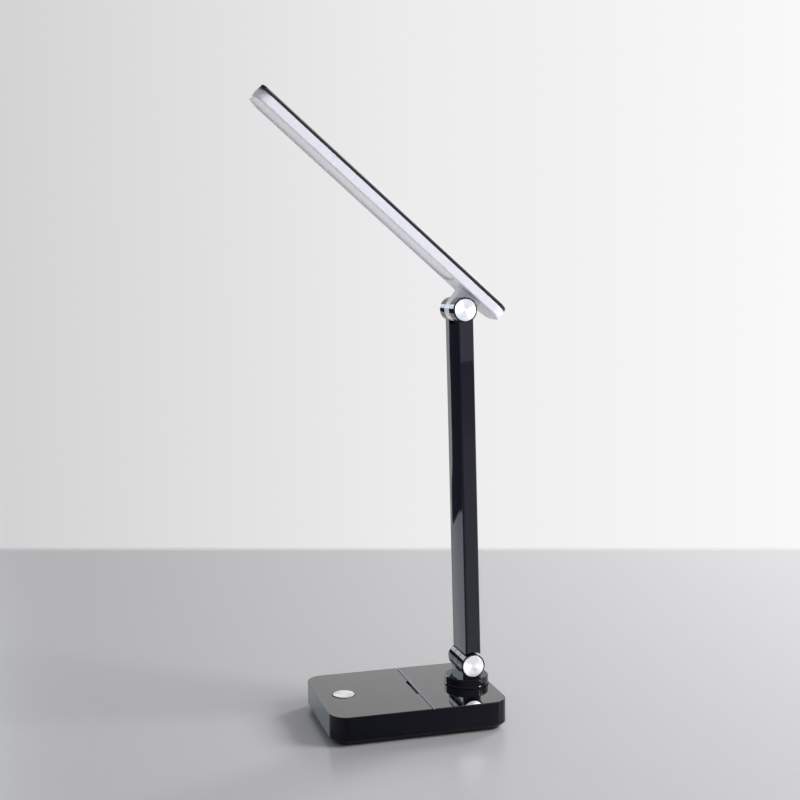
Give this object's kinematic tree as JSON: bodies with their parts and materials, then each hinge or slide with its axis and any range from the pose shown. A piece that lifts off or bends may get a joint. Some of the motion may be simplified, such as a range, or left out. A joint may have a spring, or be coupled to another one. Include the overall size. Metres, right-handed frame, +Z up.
{
  "type": "desk lamp",
  "caption": "Folding rechargeable desk lamp: a weighted gloss base with a push button, a turning fork, a hinged arm and a slim tilting light head.",
  "frame": {"origin": "centre of the base's underside, on the desk", "axes": "+Z up; the light head reaches towards -Y; the hinge pins lie along X"},
  "size_m": [0.091, 0.1693, 0.4236],
  "materials": {
    "piano_black": "gloss",
    "black_matte": "matte",
    "head_white": "satin",
    "milky_diffuser": "satin",
    "spun_aluminium": "spun",
    "plated_steel": "satin",
    "grip_rubber": "matte",
    "circuit_board": "satin",
    "light_board": "matte",
    "light_chip": "satin",
    "battery_foil": "satin",
    "wire_jacket": "satin"
  },
  "bodies": {
    "base": {"base_housing": "piano_black", "front_panel": "piano_black", "bottom_cover": "black_matte", "bottom_screws": "plated_steel", "grip_pad": "grip_rubber", "ballast_plate": "plated_steel", "battery_cell": "battery_foil", "control_board": "circuit_board", "tact_switch": "black_matte", "charging_board": "circuit_board", "charging_socket": "plated_steel"},
    "button": {"power_button": "spun_aluminium", "button_plunger": "black_matte"},
    "swivel": {"swivel_fork": "piano_black", "slip_washer": "black_matte", "spring_washer": "plated_steel", "swivel_nut": "plated_steel", "lower_hinge_pin": "plated_steel", "lower_friction_washers": "black_matte", "lower_cap_right": "spun_aluminium", "lower_cap_left": "spun_aluminium"},
    "arm": {"arm_housing": "piano_black", "arm_rear_cover": "piano_black", "arm_screws": "plated_steel", "arm_wires": "wire_jacket", "upper_hinge_pin": "plated_steel", "upper_friction_washers": "black_matte", "upper_cap_right": "spun_aluminium", "upper_cap_left": "spun_aluminium"},
    "head": {"head_frame": "head_white", "head_top_cover": "piano_black", "diffuser": "milky_diffuser", "led_board": "light_board", "led_chips": "light_chip", "head_bracket": "head_white", "bracket_screws": "plated_steel"}
  },
  "joints": [
    {"name": "swivel_turn", "type": "hinge", "parent": "base", "child": "swivel", "pos_m": [0, 0.045, 0.02], "axis": [0, 0, 1], "range_deg": [-90, 90]},
    {"name": "arm_fold", "type": "hinge", "parent": "swivel", "child": "arm", "pos_m": [0, 0.045, 0.0358], "axis": [1, 0, 0], "range_deg": [-15, 80]},
    {"name": "head_tilt", "type": "hinge", "parent": "arm", "child": "head", "pos_m": [0, 0.04044, 0.27976], "axis": [1, 0, 0], "range_deg": [-47, 132]},
    {"name": "power_press", "type": "slide", "parent": "base", "child": "button", "axis": [0, 0, -1], "range_m": [0, 0.0006], "stiffness_N_per_m": 1500, "springref_m": -0.0002}
  ]
}
